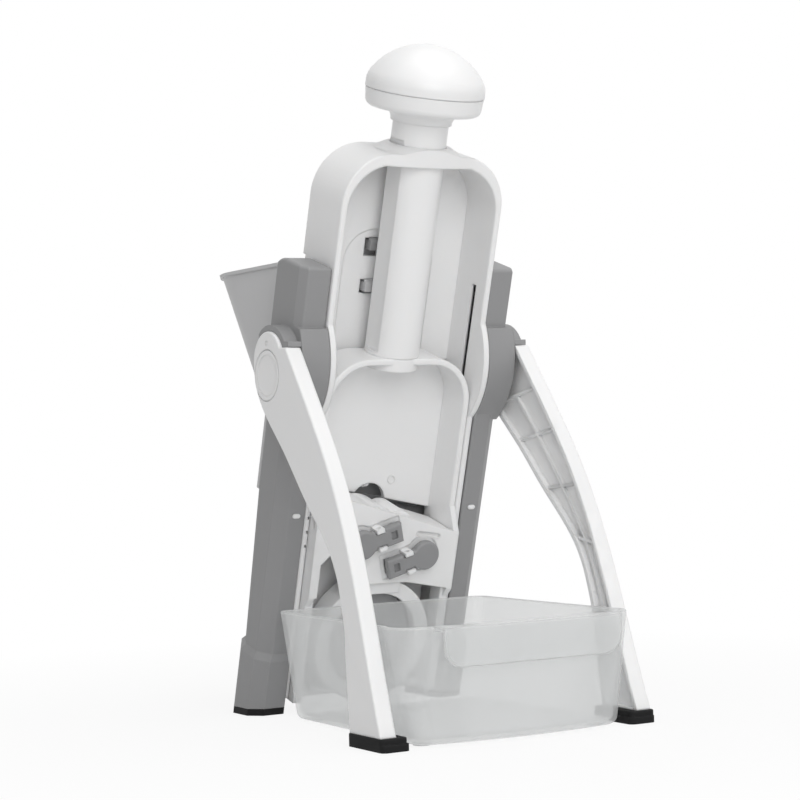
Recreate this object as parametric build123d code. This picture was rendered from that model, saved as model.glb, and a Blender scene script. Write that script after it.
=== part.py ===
from build123d import *
import math
import os

# Spring pop-up vegetable chopper: a leaning stand with a push-down slicing carriage, a feed chute
# on the front, two folding rear legs and a collection tray. Millimetres, +Z up, the chute faces +Y.
# Leaning pieces are drawn upright, with y = 0 near their back face and z along the lean,
# and are then tipped back about the X axis.

# Stance
lean_angle = 17.0
splay_angle = 1.5
overrun = 40.0

# Fits
slide_gap = 0.4
seat_gap = 0.3
pin_clearance = 0.05
screw_clearance = 0.02

# Guide frame: white upper shell with the two rails that the carriage runs between
frame_half_width = 45.4
frame_wall = 3.2
frame_top = 286.0
frame_top_wall = 6.0
frame_corner = 26.0
frame_rim_y = -1.0
frame_front_y = 29.0
frame_back_wall = 3.0
frame_foot = 8.0
frame_rim_round = 0.9
frame_front_round = 2.5
frame_skirt = 4.2
collar_wall = 2.4
collar_rise = 3.0
collar_spread = 22.0
brow_half_width = 26.0
brow_depth = 3.6
panel_half_width = 25.6
panel_top = 243.7
panel_corner = 17.0
panel_depth = 0.6
window_width = 8.0
window_low_height = 7.0
window_high_height = 9.2
window_reach = 6.2
window_low = 214.5
window_high = 234.5
hook_width = 5.0
hook_height = 4.6
hook_reach = 2.6
hook_barb = 1.6
slit_y = 9.5
slit_width = 3.4
slit_skin = 1.0
slit_rebate = 9.0
slit_low = 100.0
slit_high = 219.7
notch_pitch = 7.4
notch_depth = 1.4
notch_reach = 2.4
notch_height = 1.6
notch_start = 88.0
notch_count = 4

# Bulge of the side walls and the housing around the leg pivots
bulge_depth = 8.0
bulge_half_height = 24.0
bulge_height = 177.5

# Main housing: grey stand with two hollow posts and a front wall
post_width = 15.3
post_rear_y = -2.0
post_rear_chamfer = 6.0
post_front_chamfer = 6.5
post_front_chamfer_depth = 12.0
post_wall = 2.4
post_edge_round = 0.8
post_top = 229.5
shoulder_rear_y = 0.6
shoulder_low = 200.0
shoulder_chamfer = 2.8
shoulder_chamfer_depth = 5.0
shoulder_round = 12.0
shoulder_edge_round = 1.6
front_y = 32.3
front_wall = 3.0
front_base_y = 26.6
front_top = 200.0
tab_half_width = 30.0
tab_top = 242.0
tab_corner = 8.0
throat_half_width = 36.0
throat_low = 116.0
throat_high = 176.0
channel_low = 14.0
channel_roof = 8.6
flare_height = 33.0
flare_depth = 2.0
flare_slope = 3.0
pad_height = 3.5
pad_margin = 1.2

# Leg pivots
pivot_y = 11.0
pivot_height = 181.0
pin_radius = 4.0
pin_seat = 5.2
pin_boss_wall = 4.0
leg_gap = 0.8
leg_thickness = 8.2
leg_skin = 5.0
leg_rim = 2.2
leg_end_radius = 13.9
leg_reach = 98.0
leg_edge_round = 0.9
leg_corner_round = 1.0
leg_rib = 1.6
leg_rib_drop = 1.4
leg_hub_wall = 3.4
leg_top_rise = 5.5
leg_top_shelf = 19.0
leg_front_shares = [(0.066, 0.125), (-0.163, 0.258), (-0.37, 0.385), (-0.580, 0.505), (-0.690, 0.60),
                    (-0.748, 0.705), (-0.809, 1.01)]
leg_rear_shares = [(-0.393, 0.123), (-0.641, 0.335), (-0.811, 0.54), (-0.969, 0.80), (-1.097, 1.01)]
leg_foot_slant_share = 0.12
leg_rib_shares = [0.13, 0.26, 0.42, 0.58, 0.76]
leg_mid_share = 0.5
leg_pocket_points = 14
leg_pocket_start_share = 0.012
leg_pocket_end_share = 0.985
cap_radius = 12.2
cap_thickness = 1.4
cap_drop = 7.4
cap_gap = 0.35
cap_dish = 0.5
cap_rim = 2.2
dimple_radius = 1.3
dimple_depth = 0.6
dimple_rise = 8.2
shroud_wall = 3.0
shroud_length = 7.1
shroud_front = 11.0

# Leg boots
boot_height = 6.0
boot_step = 3.2
boot_rear_margin = 2.6
boot_front_margin = 1.0
boot_inner_margin = 6.0
boot_outer_margin = 0.6
boot_inset = 0.8
boot_round = 3.0
boot_edge_round = 0.6

# Palm knob and stem
stem_y = 11.6
stem_radius = 13.7
stem_wall = 2.4
stem_groove_half_width = 6.4
stem_groove_floor = 11.9
stem_gap = 0.35
knob_rise = 28.8
knob_radius = 29.1
knob_dome = 22.8
knob_band = 2.6
knob_side_share = 0.34
knob_base_drop = 9.0
knob_base_round = 3.4
knob_base_radius = 28.0
knob_neck_radius = 15.0
knob_neck_drop = 14.8
knob_socket_depth = 9.0
knob_wall = 2.6
knob_seam_gap = 0.15

# Screws
screw_radius = 1.5
screw_head_radius = 2.8
screw_head_height = 1.6
frame_screw_length = 3.8
knob_screw_length = 22.0

# Carriage: white arch, back plate, block and ring, pushed down by the stem
carriage_wall = 3.2
arch_top = 184.0
arch_corner = 24.0
arch_rim_round = 0.8
plate_rear_y = 19.0
plate_thickness = 3.0
plate_edge = 107.5
plate_slope = -12.0
plate_notch_x = 1.6
plate_notch_radius = 9.6
plate_notch_drop = 3.2
deck_height = 106.7
deck_slope = -17.0
block_rear_y = -8.0
block_panel = 2.5
block_flare_low = 94.0
block_flare_high = 106.0
block_depth = 12.0
block_low_right = 63.5
block_low_middle = 69.0
block_low_x = 14.0
block_low_left = 87.0
opening_left_width = 14.0
opening_left_slope = 6.0
strip_width = 4.8
strip_rear_y = -5.0
strip_depth = 9.0
carriage_foot = 7.0
foot_bar = 4.0
ring_height = 37.5
ring_radius = 32.5
ring_band = 7.4
ring_neck_half_width = 12.0
ring_rear_y = -5.0
web_rear_y = 5.0
web_thickness = 2.5
stem_boss_drop = 3.5
fin_thickness = 1.6
fin_reach = 0.5
fin_low = 104.0
fin_height = 46.0
lug_height = 5.0
lug_reach = 8.4
groove_length = 14.5
groove_height = 2.6
groove_depth = 1.6
groove_x = 23.5
groove_z = 93.6
gate_radius = 2.3
gate_height = 0.6
gate_x = 14.1
gate_z = 115.0
travel = 55.0

# Slicing blade
blade_thickness = 0.8
blade_width = 11.0
blade_overhang = 2.2
blade_margin = 3.6
blade_bevel = 2.2
blade_screw_shares = [-0.8, 0.0, 0.8]

# Runway: slanted deck and back wall that set the slice thickness
runway_gap = 0.6
runway_wall = 2.0
deck_thickness = 5.0
runway_low = 46.0
tongue_half_width = 10.0
tongue_low = 26.0
hump_x = 8.0
hump_width = 12.0
hump_height = 2.4
hump_pitch = 12.5
hump_small_height = 1.2
runway_travel = 2.6

# Thickness dial
dial_gap = 0.5
dial_rear_y = 0.6
dial_thickness = 3.0
dial_shaft_radius = 4.5
dial_cam_radius = 11.0
dial_knob_y = 33.5
dial_knob_depth = 10.0
dial_knob_radius = 14.0
dial_flutes = 16
dial_flute_radius = 1.6
dial_slot_margin = 1.6

# Rockers on the block and their comb blades
rocker_tilt = 17.0
rocker_right_x = 11.4
rocker_right_z = 81.4
rocker_left_x = -7.0
rocker_left_z = 94.4
rocker_arm = 12.4
rocker_half_width = 5.2
rocker_paddle_x = 9.8
rocker_paddle_radius = 7.5
rocker_thickness = 3.6
rocker_lift = 1.8
rocker_round = 1.1
rocker_recess_margin = 1.6
rocker_recess_depth = 0.6
rocker_window_x = 7.6
rocker_window_length = 3.4
rocker_window_height = 4.4
ear_length = 4.4
ear_thickness = 2.2
ear_bite = 1.6
ear_tip = 0.8
trunnion_radius = 1.1
trunnion_length = 1.4
comb_thickness = 0.6
comb_reach = 8.0
comb_x = 10.0
comb_teeth = 4
comb_slot_margin = 1.4
comb_tooth_share = 0.5

# Return springs in the posts
spring_radius = 3.4
spring_bore = 2.4
spring_inset = 4.7
anchor_radius = 1.2
anchor_drop = 17.5

# Studs that pin the rails to the posts
stud_inset = 5.2
stud_height = 105.4
stud_head_length = 4.2
stud_head_width = 2.4
stud_head_rise = 0.9
stud_pin_radius = 1.1

# Feed chute on the front
chute_half_width = 49.5
chute_wall = 2.4
chute_corner = 20.0
chute_flare_angle = 4.4
chute_narrow_share = 0.13
chute_reach = 86.0
chute_rise = 82.3
chute_mouth_drop = 31.0
chute_lip = 1.4
chute_lip_height = 2.0
chute_flange = 2.4
chute_flange_margin = 5.0

# Collection tray
tray_height = 54.0
tray_wall = 1.8
tray_floor = 2.0
tray_foot = 1.0
tray_foot_radius = 4.0
tray_far_y = -26.0
tray_far_low_y = -29.0
tray_leg_y = -135.0
tray_near_y = -150.0
tray_low_near_y = -151.0
tray_bow = 7.0
tray_far_half_width = 60.0
tray_leg_half_width = 63.4
tray_near_half_width = 70.5
tray_low_far_half_width = 53.5
tray_low_leg_half_width = 56.5
tray_low_near_half_width = 57.5
tray_far_corner = 7.0
tray_floor_round = 4.0
tray_rim_round = 0.6
tray_near_corner = 12.0
tray_low_near_corner = 12.0
flap_half_width = 48.0
flap_drop = 18.0
flap_reach = 6.5
flap_thickness = 1.8
flap_corner = 9.0

# Worked-out places
frame_inner = frame_half_width - frame_wall
carriage_half_width = frame_inner - slide_gap
post_inner = frame_half_width + seat_gap
post_half_width = post_inner + post_width
channel_high = post_top - channel_roof
knob_height = frame_top + knob_rise
runway_half_width = carriage_half_width - carriage_wall - runway_gap
blade_half_length = carriage_half_width - carriage_wall - blade_margin
spring_x = post_inner + spring_inset
anchor_height = post_top - anchor_drop
stud_x = post_inner + stud_inset
frame_screw_y = front_y - screw_head_height - seat_gap
bulge_radius = (bulge_half_height ** 2 + bulge_depth ** 2) / (2 * bulge_depth)
bulge_y = frame_rim_y - bulge_depth + bulge_radius
plate_front_y = plate_rear_y + plate_thickness
tongue_rear_y = plate_rear_y - slide_gap - runway_travel - runway_wall
plate_rise = math.tan(math.radians(plate_slope))
deck_rise = math.tan(math.radians(deck_slope))
lean_cos = math.cos(math.radians(lean_angle))
lean_sin = math.sin(math.radians(lean_angle))
pivot_level_y = pivot_y * lean_cos - pivot_height * lean_sin
pivot_level_z = pivot_y * lean_sin + pivot_height * lean_cos
leg_inner = post_half_width + leg_gap
leg_foot_shift = pivot_level_z * math.tan(math.radians(splay_angle))
lean = Rot(lean_angle, 0, 0)


def block(x, y, z):
    size = Box(x[1] - x[0], y[1] - y[0], z[1] - z[0])
    return Pos((x[0] + x[1]) / 2, (y[0] + y[1]) / 2, (z[0] + z[1]) / 2) * size


def through(face, y0, y1):
    """An outline drawn in x and z, made solid from y0 to y1."""
    return Pos(0, y1, 0) * extrude(Plane.XZ * face, amount=y1 - y0)


def across(face, x0, x1):
    """An outline drawn in y and z, made solid from x0 to x1."""
    return Pos(x0, 0, 0) * extrude(Plane.YZ * face, amount=x1 - x0)


def rod_x(radius, x0, x1, y, z):
    return Pos((x0 + x1) / 2, y, z) * Rot(0, 90, 0) * Cylinder(radius, x1 - x0)


def rod_y(radius, y0, y1, x, z):
    return Pos(x, (y0 + y1) / 2, z) * Rot(90, 0, 0) * Cylinder(radius, y1 - y0)


def rod_z(radius, z0, z1, x, y):
    return Pos(x, y, (z0 + z1) / 2) * Cylinder(radius, z1 - z0)


def outline(*points):
    return make_face(Polyline(*points, close=True))


def mirrored(part):
    return mirror(part, about=Plane.YZ)


def arch_face(half_width, low, high, corner):
    """Upright panel with its two top corners rounded."""
    body = Pos(0, (low + high) / 2) * Rectangle(2 * half_width, high - low)
    return fillet(body.vertices().group_by(Axis.Y)[-1], corner)


def plate_line(x, base):
    """Height of a line parallel to the plate's lower edge."""
    return base + x * plate_rise


def deck_line(x, base):
    """Height of a line parallel to the runway's deck."""
    return base + x * deck_rise


def screw(head_y, x, z, length, way):
    """Pan-head screw along y, with its head outside head_y. way is the side the shank runs to."""
    head = rod_y(screw_head_radius, min(head_y, head_y - way * screw_head_height),
                 max(head_y, head_y - way * screw_head_height), x, z)
    end_y = head_y + way * length
    shank = rod_y(screw_radius, min(head_y, end_y), max(head_y, end_y), x, z)
    return head + shank


def make_guide_frame():
    outer = arch_face(frame_half_width, frame_foot, frame_top, frame_corner)
    hollow = arch_face(frame_inner, frame_foot - overrun, frame_top - frame_top_wall,
                       frame_corner - frame_wall)
    shell = through(outer - hollow, frame_rim_y, frame_front_y)
    shell = fillet(shell.faces().sort_by(Axis.Y)[0].edges(), frame_rim_round)
    back_y = frame_front_y - frame_back_wall
    skirt_y = frame_front_y + frame_skirt
    tall = block((-frame_half_width, frame_half_width), (back_y, frame_front_y),
                 (throat_high + seat_gap, frame_top))
    shell += through(outer, back_y, frame_front_y) & tall
    above = block((-frame_half_width, frame_half_width), (back_y, skirt_y), (post_top + seat_gap, frame_top))
    shell += through(outer - hollow, frame_front_y, skirt_y) & above
    crown = through(outer, frame_rim_y, skirt_y)
    edge = crown - fillet(crown.faces().sort_by(Axis.Y)[-1].edges(), frame_front_round)
    shell -= edge & above
    keep = block((-frame_half_width, frame_half_width), (-overrun, frame_front_y),
                 (bulge_height - bulge_radius, bulge_height + bulge_radius))
    for side in (-1, 1):
        low_x, high_x = sorted((side * frame_inner, side * frame_half_width))
        shell += rod_x(bulge_radius, low_x, high_x, bulge_y, bulge_height) & keep
    shell += make_collar(through(outer, frame_rim_y - overrun, frame_front_y))
    shell -= rod_z(stem_radius + stem_gap, frame_top - overrun, frame_top + overrun, 0, stem_y)
    panel = arch_face(panel_half_width, throat_high - overrun, panel_top, panel_corner)
    shell -= through(panel, back_y - panel_depth, back_y + panel_depth)
    for side in (-1, 1):
        shell -= window(side, window_low, window_low_height, back_y - panel_depth, frame_front_y + overrun)
        shell -= window(side, window_high, window_high_height, back_y - panel_depth, frame_front_y + overrun)
        key = (side * (stem_groove_floor + slide_gap), side * (stem_radius + collar_wall / 2))
        shell += block((min(key), max(key)), (stem_y - stem_groove_half_width + slide_gap,
                                              stem_y + stem_groove_half_width - slide_gap),
                       (frame_top - frame_top_wall, frame_top + collar_rise))
    shell -= block((-overrun - frame_half_width, frame_half_width + overrun),
                   (slit_y - slit_width / 2, slit_y + slit_width / 2), (slit_low, slit_high))
    for side in (-1, 1):
        rebate = (side * (frame_inner + slit_skin), side * (frame_half_width + overrun))
        shell -= block((min(rebate), max(rebate)), (slit_y - slit_rebate / 2, slit_y + slit_rebate / 2),
                       (slit_low, slit_high))
    for index in range(notch_count):
        low = notch_start + index * notch_pitch
        shell -= block((-frame_inner - notch_depth, -frame_inner + notch_depth),
                       (frame_rim_y - overrun, frame_rim_y + notch_reach), (low, low + notch_height))
    for side in (-1, 1):
        for place in frame_screw_places():
            shell -= rod_y(screw_radius + screw_clearance, frame_screw_y - frame_screw_length - screw_clearance,
                           frame_front_y + overrun, side * place[0], place[1]) & tall
    inset = front_wall + seat_gap
    ahead = outline((front_base_y - inset, -overrun), (front_base_y - inset, 0), (front_y - inset, throat_low),
                    (front_y + overrun, throat_low), (front_y + overrun, -overrun))
    return shell - across(ahead, -frame_half_width - overrun, frame_half_width + overrun)


def make_collar(crown):
    """Bowed brow behind the stem, kept under the frame's crown, and the low cone around the stem."""
    bow = ThreePointArc((-brow_half_width, frame_rim_y), (0, frame_rim_y - brow_depth),
                        (brow_half_width, frame_rim_y))
    brow = make_face([bow, Line(bow @ 1, bow @ 0)])
    middle = Rectangle(2 * brow_half_width, frame_front_y - frame_rim_y)
    middle = Pos(0, (frame_rim_y + frame_front_y) / 2) * middle
    low = frame_top - frame_top_wall
    cone = Cone(collar_spread, stem_radius + collar_wall, collar_rise)
    cone = Pos(0, stem_y, frame_top + collar_rise / 2) * cone
    cone &= Pos(0, 0, frame_top) * extrude(middle + brow, amount=collar_rise)
    return (Pos(0, 0, low) * extrude(brow, amount=frame_top_wall) & crown) + cone


def frame_screw_places():
    """One screw each side, where the front wall laps the frame's back wall."""
    return [(throat_half_width, (throat_high + front_top) / 2)]


def front_profile(inset):
    """Side view of the stand from base to top, with the front face set back by inset."""
    return outline((post_rear_y, -overrun), (front_base_y - inset, -overrun), (front_base_y - inset, 0),
                   (front_y - inset, throat_low), (front_y - inset, post_top), (post_rear_y, post_top))


def post_plan(front, grow, inner):
    """Plan of the right-hand post with its outer corners cut, grown outwards by grow."""
    outer = post_half_width + grow
    rear = post_rear_y - grow
    return outline((inner, rear), (outer - post_rear_chamfer, rear), (outer, rear + post_rear_chamfer),
                   (outer, front + grow - post_front_chamfer_depth), (outer - post_front_chamfer, front + grow),
                   (inner, front + grow))


def post_form(grow, inner):
    """Right-hand post from below the floor to its shoulder, its front sloping out up to the throat."""
    levels = [(-overrun, front_base_y), (0, front_base_y), (throat_low, front_y), (shoulder_low, front_y)]
    form = Part()
    for (low, low_front), (high, high_front) in zip(levels, levels[1:]):
        form += loft([Pos(0, 0, low) * post_plan(low_front, grow, inner),
                      Pos(0, 0, high) * post_plan(high_front, grow, inner)], ruled=True)
    return form


def shoulder_form(inset, inner, low, high):
    """Shoulder at the top of the right-hand post, with its outer corners cut."""
    outer = post_half_width - inset
    rear = shoulder_rear_y + inset
    front = front_y - inset
    plan = outline((inner, rear), (outer - shoulder_chamfer, rear), (outer, rear + shoulder_chamfer_depth),
                   (outer, front - shoulder_chamfer_depth), (outer - shoulder_chamfer, front), (inner, front))
    return Pos(0, 0, low) * extrude(plan, amount=high - low)


def make_post():
    """Right-hand post with its shoulder and pivot boss, still whole at the floor."""
    shoulder_start = shoulder_low - shoulder_round
    side = Pos(front_y / 2, (shoulder_start + post_top) / 2) * Rectangle(front_y, post_top - shoulder_start)
    side = fillet(side.vertices().group_by(Axis.Y)[-1].sort_by(Axis.X)[-1], shoulder_round)
    shoulder = shoulder_form(0, post_inner, shoulder_start, post_top) & across(side, 0, post_half_width)
    crown = shoulder.faces().sort_by(Axis.Z)[-1].edges().sort_by(Axis.Y)[:-1]
    shoulder = fillet(crown, shoulder_edge_round)
    boss_keep = block((post_inner, post_half_width), (-overrun, pivot_y),
                      (bulge_height - bulge_half_height - post_wall, shoulder_low))
    boss = rod_x(bulge_radius, post_inner, post_half_width, bulge_y, bulge_height) & boss_keep
    post = post_form(0, post_inner) + shoulder + boss
    return fillet(post.edges().filter_by(Axis.Z), post_edge_round)


def make_channel():
    """Hollow of the right-hand post, where its spring runs."""
    inner = post_inner - overrun / 2
    hollow = post_form(-post_wall, inner) & block((0, post_half_width), (-overrun, front_y),
                                                  (channel_low, shoulder_low - post_wall))
    return hollow + shoulder_form(post_wall, inner, shoulder_low - 2 * post_wall, channel_high)


def make_flare():
    """Thicker foot of the right-hand post."""
    low = Pos(0, 0, -flare_height) * post_plan(front_base_y, flare_depth, post_inner)
    high = Pos(0, 0, flare_height - flare_slope) * post_plan(front_base_y, flare_depth, post_inner)
    top = Pos(0, 0, flare_height) * post_plan(front_base_y, 0, post_inner)
    return loft([low, high], ruled=True) + loft([high, top], ruled=True)


def make_housing():
    """Upright housing, before it is tipped and trimmed at the floor."""
    post = make_post() + make_flare() - make_channel()
    boss_x = post_half_width - pin_seat
    post += rod_x(pin_radius + pin_boss_wall, boss_x, post_half_width, pivot_y, pivot_height)
    post -= rod_x(pin_radius + pin_clearance, boss_x - overrun, post_half_width + overrun,
                  pivot_y, pivot_height)
    post -= rod_y(stud_pin_radius + screw_clearance, -overrun, post_rear_y + post_wall, stud_x, stud_height)
    post -= rod_y(anchor_radius + screw_clearance, shoulder_rear_y + post_wall / 2, front_y + overrun,
                  spring_x, anchor_height)
    body = post + mirrored(post)
    wall = across(front_profile(0) - front_profile(front_wall), -post_inner, post_inner)
    wall &= block((-post_inner, post_inner), (-overrun, front_y), (0, front_top))
    wall -= block((-throat_half_width, throat_half_width), (0, front_y + overrun), (throat_low, throat_high))
    tab = arch_face(tab_half_width, throat_high, tab_top, tab_corner)
    wall += through(tab, front_y - front_wall, front_y)
    slot_half = dial_shaft_radius + dial_slot_margin
    slot = Pos(0, ring_height + travel / 2) * SlotOverall(travel + 2 * slot_half, 2 * slot_half, rotation=90)
    wall -= through(slot, 0, front_y + overrun)
    for side in (-1, 1):
        for place in frame_screw_places():
            wall -= rod_y(screw_radius + screw_clearance, 0, front_y + overrun, side * place[0], place[1])
            wall -= rod_y(screw_head_radius + seat_gap, frame_screw_y, front_y + overrun, side * place[0], place[1])
        wall -= window(side, window_low, window_low_height, 0, front_y + overrun)
        wall += hook(side, window_high + (window_high_height - window_low_height) / 2, front_y - front_wall)
    return body + wall


def window(side, height, tall, y0, y1):
    """Window in the walls that lap above the throat."""
    reach = (side * window_reach, side * (window_reach + window_width))
    return block((min(reach), max(reach)), (y0, y1), (height - tall / 2, height + tall / 2))


def hook(side, height, root_y):
    """Snap hook that reaches back through a window, with a barb over its edge."""
    tip_y = frame_front_y - frame_back_wall - hook_reach
    middle = side * (window_reach + window_width / 2)
    half = hook_width / 2
    tall = hook_height / 2
    shank = block((middle - half, middle + half), (tip_y, root_y), (height - tall, height + tall))
    barb = outline((tip_y, height + tall), (frame_front_y - frame_back_wall - slide_gap, height + tall),
                   (frame_front_y - frame_back_wall - slide_gap, height + tall + hook_barb))
    return shank + across(barb, middle - half, middle + half)


def make_shroud():
    """Lip of the right-hand boss over the leg's end, also the leg's stop. Level frame."""
    outer_radius = leg_end_radius + seat_gap + shroud_wall
    lip = rod_x(outer_radius, post_half_width - post_wall / 2, post_half_width + shroud_length,
                pivot_level_y, pivot_level_z)
    lip += block((post_half_width - post_wall / 2, post_half_width + shroud_length),
                 (pivot_level_y - leg_top_shelf, pivot_level_y),
                 (pivot_level_z, pivot_level_z + leg_top_rise + shroud_wall))
    lip -= rod_x(leg_end_radius + seat_gap, post_half_width, post_half_width + overrun,
                 pivot_level_y, pivot_level_z)
    keep = block((0, post_half_width + overrun), (pivot_level_y - overrun, pivot_level_y + shroud_front),
                 (pivot_level_z + leg_top_rise + seat_gap, pivot_level_z + overrun))
    return lip & keep


def level_floor(height):
    """Everything below a level plane."""
    wide = post_half_width + overrun
    return block((-wide, wide), (-wide - frame_top, wide + frame_top), (-wide - frame_top, height))


def make_base_pad():
    """Right-hand rubber pad under the post, cut level at the floor."""
    foot = lean * (make_flare() + block((post_inner, post_inner + pad_margin),
                                        (post_rear_y, front_base_y), (-flare_height, 0)))
    return foot & block((0, post_half_width + overrun), (-overrun, front_y + overrun), (0, pad_height))


def make_stud():
    """Right-hand stud: an oval head on the post's back face and a pin through its wall."""
    head = SlotOverall(stud_head_length, stud_head_width)
    stud = Pos(stud_x, 0, stud_height) * through(head, post_rear_y - stud_head_rise, post_rear_y)
    stud = fillet(stud.faces().sort_by(Axis.Y)[0].edges(), stud_head_rise / 2)
    return stud + rod_y(stud_pin_radius, post_rear_y, post_rear_y + post_wall, stud_x, stud_height)


def make_chute():
    """Hopper with a rounded front, cut open at its mouth and where it meets the stand."""
    climb = math.atan2(chute_rise, chute_reach) + math.radians(chute_flare_angle)
    axis = Plane(origin=(0, front_y, throat_low - chute_wall), x_dir=(-1, 0, 0),
                 z_dir=(0, math.cos(climb), math.sin(climb)))
    long = math.hypot(chute_reach, chute_rise) + overrun
    mouth_back = chute_rise + chute_mouth_drop

    def tube(inset):
        half = chute_half_width - inset
        deep = 2 * chute_reach
        narrow = half - deep * chute_narrow_share
        plan = outline((-half, inset), (half, inset), (narrow, inset + deep), (-narrow, inset + deep))
        front = plan.vertices().group_by(Axis.Y)[0]
        plan = fillet(front, chute_corner - inset)
        return extrude(axis * plan, amount=long, taper=-chute_flare_angle)

    def region(drop, back_y):
        """Side view of the space in front of the stand and under the mouth."""
        low = throat_low - chute_wall
        side = outline((back_y, low - overrun), (front_y + chute_reach + overrun, low - overrun),
                       (front_y + chute_reach + overrun, mouth_line(chute_reach + overrun) - drop),
                       (back_y, mouth_line(back_y - front_y) - drop))
        wide = chute_half_width + overrun
        return across(side, -wide, wide)

    def mouth_line(forward):
        fall = (mouth_back - chute_rise) / chute_reach
        return throat_low - chute_wall + mouth_back - forward * fall

    body = tube(0) & region(0, front_y)
    lip = (tube(-chute_lip) & region(0, front_y)) - region(chute_lip_height, front_y)
    flange_low = throat_low - chute_wall - chute_flange_margin
    flange_high = mouth_line(0) - chute_lip_height
    flange = block((-chute_half_width - chute_flange_margin, chute_half_width + chute_flange_margin),
                   (front_y, front_y + chute_flange), (flange_low, flange_high))
    chute = body + lip + flange
    hollow = tube(chute_wall) & region(-overrun, front_y - overrun)
    cut_back = block((-throat_half_width, throat_half_width), (front_y - overrun, front_y + chute_flange),
                     (throat_low, throat_high))
    keep_back = block((-chute_half_width, chute_half_width), (front_y - overrun, front_y + chute_flange),
                      (throat_low - overrun, flange_high + overrun))
    chute -= hollow - keep_back
    chute -= cut_back
    for side in (-1, 1):
        chute += hook(side, window_low, front_y)
    return chute


def make_stem():
    low = arch_top
    high = knob_height - knob_neck_drop + knob_socket_depth
    stem = rod_z(stem_radius, low, high, 0, stem_y)
    stem -= rod_z(stem_radius - stem_wall - (stem_radius - stem_groove_floor), low + stem_wall, high - stem_wall,
                  0, stem_y)
    for side in (-1, 1):
        groove = (side * stem_groove_floor, side * (stem_radius + overrun))
        stem -= block((min(groove), max(groove)),
                      (stem_y - stem_groove_half_width, stem_y + stem_groove_half_width),
                      (low + stem_wall, frame_top + collar_rise + stem_wall))
    stem -= rod_z(screw_radius + screw_clearance, high - overrun, high + overrun, 0, stem_y)
    return stem


def make_knob_cap():
    """Shallow dome, hollow underneath, with a short straight band at its seam."""
    crown = dome(knob_radius, knob_dome)
    return crown - dome(knob_radius - knob_wall, knob_dome - knob_wall)


def dome(radius, rise):
    """Crown of two tangent arcs on a short straight wall."""
    high = rise - knob_band
    side_radius = radius * knob_side_share
    crown_radius = (radius ** 2 + high ** 2 - 2 * radius * side_radius) / (2 * (high - side_radius))
    bend = math.degrees(math.atan2(crown_radius - high, radius - side_radius))
    side = CenterArc((radius - side_radius, knob_band), side_radius, 0, bend)
    crown = CenterArc((0, rise - crown_radius), crown_radius, bend, 90 - bend)
    rest = Polyline((0, rise), (0, 0), (radius, 0), (radius, knob_band))
    return Pos(0, stem_y, knob_height) * revolve(Plane.XZ * make_face([side, crown, rest]), axis=Axis.Z)


def make_knob_base():
    """Tapered band under the seam, then a hollowed underside that runs into the neck."""
    top = knob_height - knob_seam_gap
    low = top - knob_base_drop
    neck_low = knob_height - knob_neck_drop
    band = Polyline((0, top), (knob_radius - knob_seam_gap, top), (knob_base_radius, low))
    sweep_in = Spline((knob_base_radius, low), (knob_neck_radius, neck_low),
                      tangents=((-1, 0), (0, -1)))
    close = Polyline((knob_neck_radius, neck_low), (0, neck_low), (0, top))
    profile = make_face([band, sweep_in, close])
    profile = fillet(profile.vertices().sort_by(Axis.X)[-2], knob_base_round)
    base = Pos(0, stem_y, 0) * revolve(Plane.XZ * profile, axis=Axis.Z)
    socket_top = neck_low + knob_socket_depth
    base -= rod_z(stem_radius + screw_clearance, neck_low - overrun, socket_top, 0, stem_y)
    base -= rod_z(screw_radius + screw_clearance, socket_top - stem_wall, top + overrun, 0, stem_y)
    return base


def make_knob_screw():
    head_z = knob_height - knob_seam_gap
    head = rod_z(screw_head_radius, head_z, head_z + screw_head_height, 0, stem_y)
    return head + rod_z(screw_radius, head_z - knob_screw_length / 2, head_z, 0, stem_y)


def arch_band(low, y0, y1):
    """Arch of the carriage as a bent wall, open at the bottom."""
    outer = arch_face(carriage_half_width, low, arch_top, arch_corner)
    hollow = arch_face(carriage_half_width - carriage_wall, low - overrun, arch_top - carriage_wall,
                       arch_corner - carriage_wall)
    return through(outer - hollow, y0, y1)


def make_carriage():
    inner = carriage_half_width - carriage_wall
    body = arch_band(block_flare_low, frame_rim_y, plate_front_y)
    body = fillet(body.faces().sort_by(Axis.Y)[0].edges(), arch_rim_round)
    plate_outline = arch_face(carriage_half_width - carriage_wall / 2, throat_low - overrun,
                              arch_top - carriage_wall / 2, arch_corner - carriage_wall / 2)
    above_slot = outline((-inner - carriage_wall, plate_line(-inner - carriage_wall, plate_edge)),
                         (inner + carriage_wall, plate_line(inner + carriage_wall, plate_edge)),
                         (inner + carriage_wall, arch_top), (-inner - carriage_wall, arch_top))
    notch_z = plate_line(plate_notch_x, plate_edge) - plate_notch_drop
    plate = through(plate_outline & above_slot, plate_rear_y, plate_front_y)
    body += plate - rod_y(plate_notch_radius, plate_rear_y - overrun, plate_front_y + overrun,
                          plate_notch_x, notch_z)
    body += rod_z(stem_radius, arch_top - carriage_wall - stem_boss_drop, arch_top, 0, stem_y)
    body += make_block_sides()
    body += make_block_panel()
    body += make_ring_frame()
    body += make_fins()
    return cut_carriage_details(body)


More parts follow.
